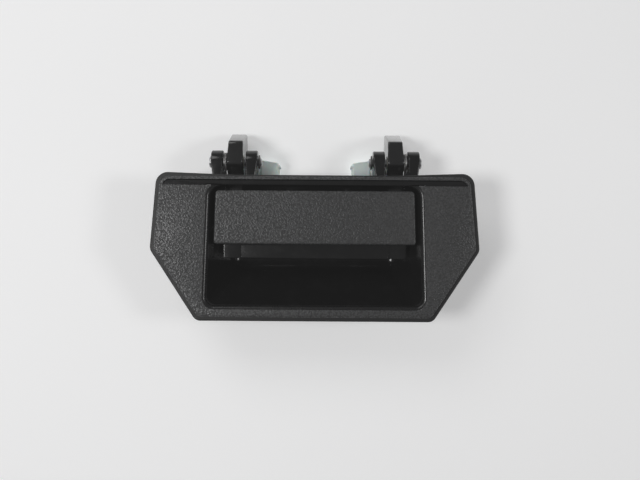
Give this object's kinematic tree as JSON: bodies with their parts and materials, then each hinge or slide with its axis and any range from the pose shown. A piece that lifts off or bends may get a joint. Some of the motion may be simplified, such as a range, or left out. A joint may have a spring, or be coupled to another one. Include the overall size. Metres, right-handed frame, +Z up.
{
  "type": "pull handle",
  "caption": "Flush pull handle for a vehicle's rear door: housing with a finger recess, a paddle on two pivoted bell-crank levers, return springs and rod clips.",
  "frame": {"origin": "centre of the cut-out in the door's outer skin, in the plane that the gasket seals against, level with the middle of the housing's height", "axes": "+X to the right seen from outside, +Y through the skin into the door, +Z up"},
  "size_m": [0.1848, 0.0409, 0.1091],
  "materials": {
    "grained_plastic": "fine leather grain, black, moulded in",
    "lever_paint": "smooth satin black on die-cast zinc",
    "natural_nylon": "milky, unpigmented nylon",
    "bush_nylon": "off-white nylon",
    "zinc_plated_steel": "bright zinc plate",
    "spring_steel": "bright drawn wire",
    "brass": "turned, lightly tarnished",
    "rubber": "moulded black rubber",
    "foam": "closed-cell foam, cut edge"
  },
  "bodies": {
    "housing": {"housing": "grained_plastic", "gasket": "foam", "mount_insert_left_upper": "brass", "mount_insert_left_lower": "brass", "mount_insert_right_upper": "brass", "mount_insert_right_lower": "brass", "pivot_pin_left": "zinc_plated_steel", "pivot_pin_right": "zinc_plated_steel", "retaining_ring_left": "spring_steel", "retaining_ring_right": "spring_steel", "return_spring_left": "spring_steel", "return_spring_right": "spring_steel", "rest_bumper_left": "rubber", "rest_bumper_right": "rubber"},
    "paddle": {"paddle": "grained_plastic", "lever_left": "lever_paint", "lever_right": "lever_paint", "hub_bush_left": "bush_nylon", "hub_bush_right": "bush_nylon", "lever_screw_left_lower": "zinc_plated_steel", "lever_screw_left_upper": "zinc_plated_steel", "lever_screw_right_lower": "zinc_plated_steel", "lever_screw_right_upper": "zinc_plated_steel"},
    "rod_clip_left": {"rod_clip_left": "natural_nylon"},
    "rod_clip_right": {"rod_clip_right": "natural_nylon"}
  },
  "joints": [
    {"name": "paddle_pull", "type": "hinge", "parent": "housing", "child": "paddle", "pos_m": [0, 0.009, 0.0494], "axis": [-1, 0, 0], "range_deg": [0, 28], "stiffness_Nm_per_rad": 1.2, "springref_deg": -17.19, "deforming": ["return_spring_left", "return_spring_right"]},
    {"name": "left_clip_swivel", "type": "hinge", "parent": "paddle", "child": "rod_clip_left", "pos_m": [-0.0461, 0.027, 0.0464], "axis": [-1, 0, 0], "range_deg": [-35, 35]},
    {"name": "right_clip_swivel", "type": "hinge", "parent": "paddle", "child": "rod_clip_right", "pos_m": [0.0461, 0.027, 0.0464], "axis": [-1, 0, 0], "range_deg": [-35, 35]}
  ]
}
